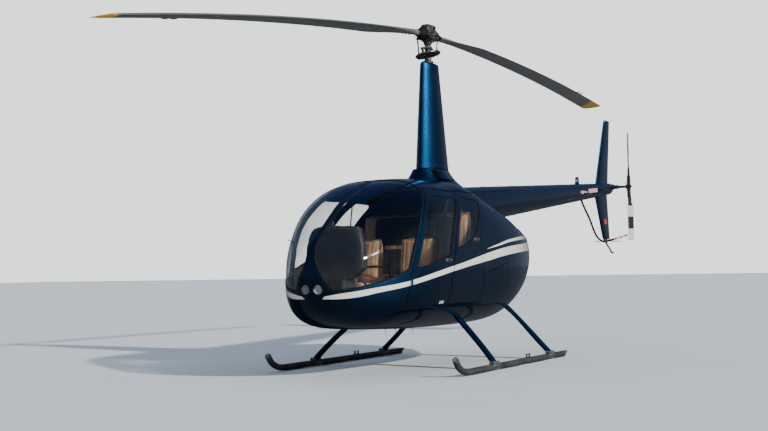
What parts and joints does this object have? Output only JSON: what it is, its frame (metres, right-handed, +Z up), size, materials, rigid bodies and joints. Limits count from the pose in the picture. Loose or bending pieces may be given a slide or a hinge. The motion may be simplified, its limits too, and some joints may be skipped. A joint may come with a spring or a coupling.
{
  "type": "light turbine helicopter",
  "caption": "Light helicopter with a hollow glazed cabin, opening doors, turning main and tail rotors on a tall faired mast, and skid landing gear.",
  "frame": {"origin": "on the ground, under the middle of the whole length from the forward blade's tip to the end of the tail guard, on the middle line", "axes": "+Z up, +Y toward the tail, so the nose points to -Y, +X toward the helicopter's left side"},
  "size_m": [2.02, 11.6814, 3.478],
  "materials": {
    "body_paint": "deep metallic blue gloss paint with cream stripes",
    "window_glass": "lightly tinted clear acrylic",
    "black_metal": "satin black",
    "blade_grey": "matt dark grey paint with worn leading edges",
    "bare_steel": "heat-tinted steel",
    "seat_leather": "tan grained leather",
    "cabin_trim": "dark textured trim",
    "lamp_glass": "clear lamp glass over a bright reflector",
    "beacon_red": "red translucent lens"
  },
  "bodies": {
    "airframe": {"landing_gear_front": "body_paint", "landing_gear_rear": "body_paint", "cabin_shell": "body_paint", "landing_lights": "lamp_glass", "cabin_roof": "body_paint", "windshield_bow": "body_paint", "windshield_left": "window_glass", "windshield_right": "window_glass", "engine_cowling": "body_paint", "cowl_grille_left": "black_metal", "cowl_grille_right": "black_metal", "engine_block": "bare_steel", "mast_fairing": "body_paint", "mast_collar": "body_paint", "mast_tube": "black_metal", "tailcone": "body_paint", "fin_upper": "body_paint", "fin_lower": "body_paint", "stabiliser": "body_paint", "tail_gearbox": "black_metal", "tail_guard": "body_paint", "tail_skid": "black_metal", "skid_left": "black_metal", "skid_right": "black_metal", "cabin_floor": "cabin_trim", "seat_front_left": "seat_leather", "seat_front_right": "seat_leather", "seat_rear": "seat_leather", "instrument_pod": "cabin_trim", "cyclic": "black_metal", "beacon": "beacon_red", "exhaust": "bare_steel"},
    "main_rotor": {"rotor_hub": "black_metal", "main_blade_forward": "blade_grey", "main_blade_aft": "blade_grey", "swashplate": "bare_steel"},
    "tail_rotor": {"tail_rotor_hub": "black_metal", "tail_rotor_blade_upper": "blade_grey", "tail_rotor_blade_lower": "blade_grey"},
    "front_left_door": {"door_front_left": "body_paint", "window_front_left": "window_glass"},
    "front_right_door": {"door_front_right": "body_paint", "window_front_right": "window_glass"},
    "rear_left_door": {"door_rear_left": "body_paint", "window_rear_left": "window_glass"},
    "rear_right_door": {"door_rear_right": "body_paint", "window_rear_right": "window_glass"},
    "baggage_door": {"door_baggage": "body_paint"}
  },
  "joints": [
    {"name": "main_rotor_spin", "type": "hinge", "parent": "airframe", "child": "main_rotor", "pos_m": [0, -0.81, 3.3], "axis": [0, 0, 1], "continuous": true},
    {"name": "tail_rotor_spin", "type": "hinge", "parent": "airframe", "child": "tail_rotor", "pos_m": [0.293, 5.04, 2.058], "axis": [1, 0, 0], "continuous": true},
    {"name": "front_left_door_hinge", "type": "hinge", "parent": "airframe", "child": "front_left_door", "pos_m": [0.645, -2.59, 0.9], "axis": [0, 0, -1], "range_deg": [0, 80]},
    {"name": "front_right_door_hinge", "type": "hinge", "parent": "airframe", "child": "front_right_door", "pos_m": [-0.645, -2.59, 0.9], "axis": [0, 0, 1], "range_deg": [0, 80]},
    {"name": "rear_left_door_hinge", "type": "hinge", "parent": "airframe", "child": "rear_left_door", "pos_m": [0.745, -1.93, 0.9], "axis": [0, 0, -1], "range_deg": [0, 80]},
    {"name": "rear_right_door_hinge", "type": "hinge", "parent": "airframe", "child": "rear_right_door", "pos_m": [-0.745, -1.93, 0.9], "axis": [0, 0, 1], "range_deg": [0, 80]},
    {"name": "baggage_door_hinge", "type": "hinge", "parent": "airframe", "child": "baggage_door", "pos_m": [0.738, -1.144, 0.8], "axis": [0, 0, -1], "range_deg": [0, 85]}
  ],
  "couplings": [
    {"joint": "tail_rotor_spin", "follows": "main_rotor_spin", "ratio": -5.84}
  ]
}
